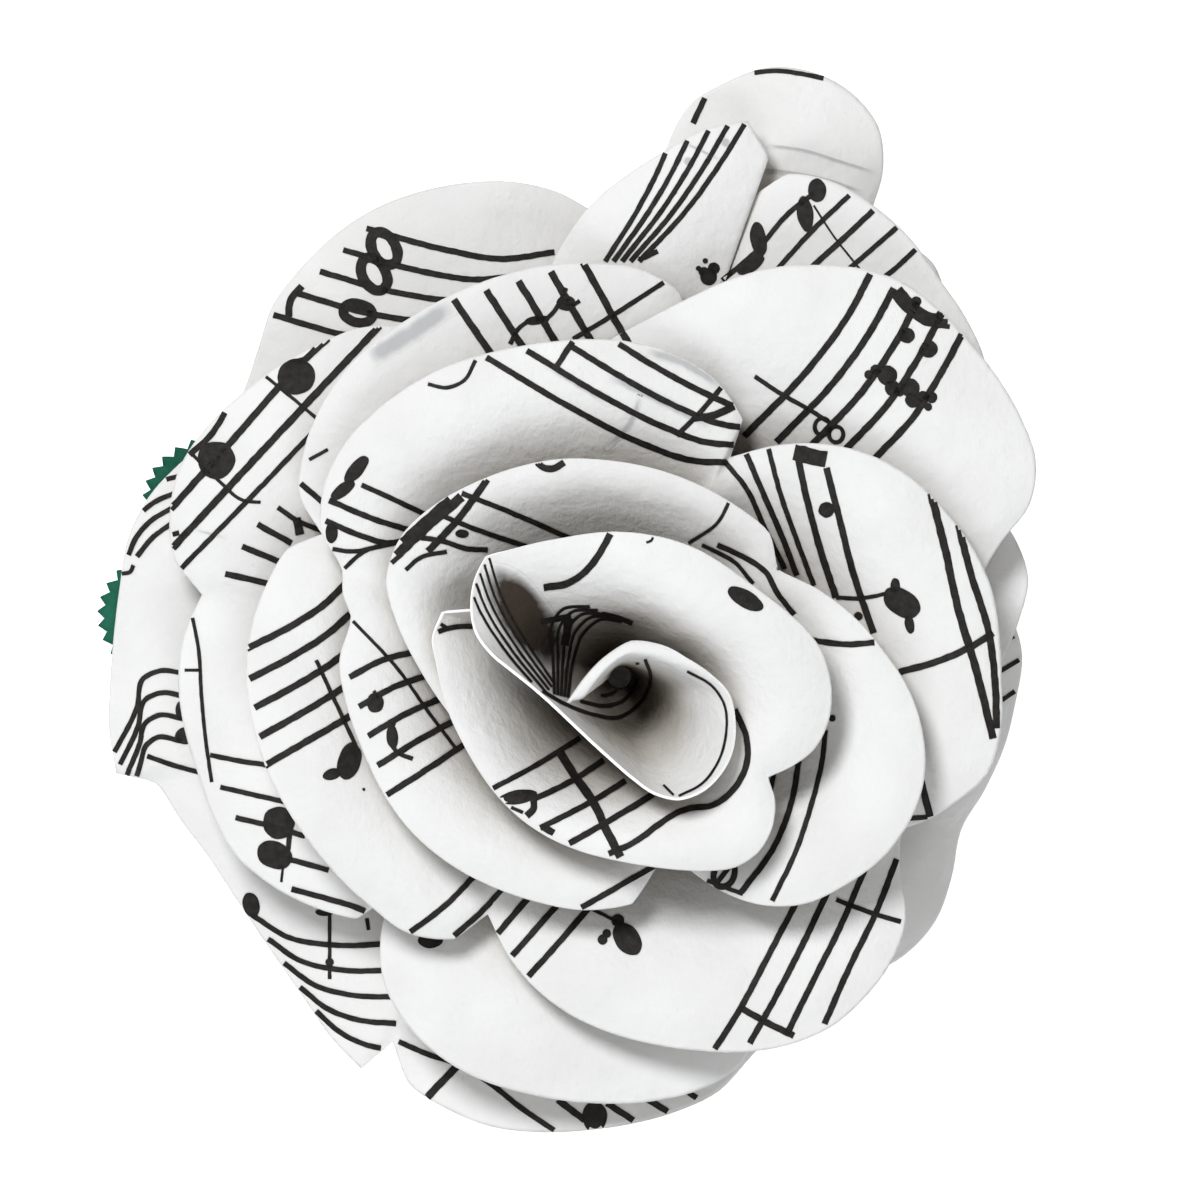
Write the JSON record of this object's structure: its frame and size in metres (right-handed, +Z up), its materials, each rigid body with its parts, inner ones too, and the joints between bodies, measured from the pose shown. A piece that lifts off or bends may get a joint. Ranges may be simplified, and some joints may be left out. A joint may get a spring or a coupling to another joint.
{
  "type": "paper flower",
  "caption": "Handmade rose of curled printed music paper: nested scalloped sheets round a rolled bud, with green leaves below.",
  "frame": {"origin": "middle of the flat underside that the flower rests on", "axes": "+Z up out of the flower along its axis, +Y towards the long petal that stands out at the top of the face, +X to the right of the face"},
  "size_m": [0.0555, 0.0629, 0.0226],
  "materials": {
    "music_paper": "matte",
    "green_paper": "matte"
  },
  "bodies": {
    "root": {"bud_sheet": "music_paper", "petal_sheet_2": "music_paper", "petal_sheet_3": "music_paper", "petal_sheet_4": "music_paper", "petal_sheet_5": "music_paper", "petal_sheet_6": "music_paper", "leaf_upper": "green_paper", "leaf_lower": "green_paper"}
  },
  "joints": []
}
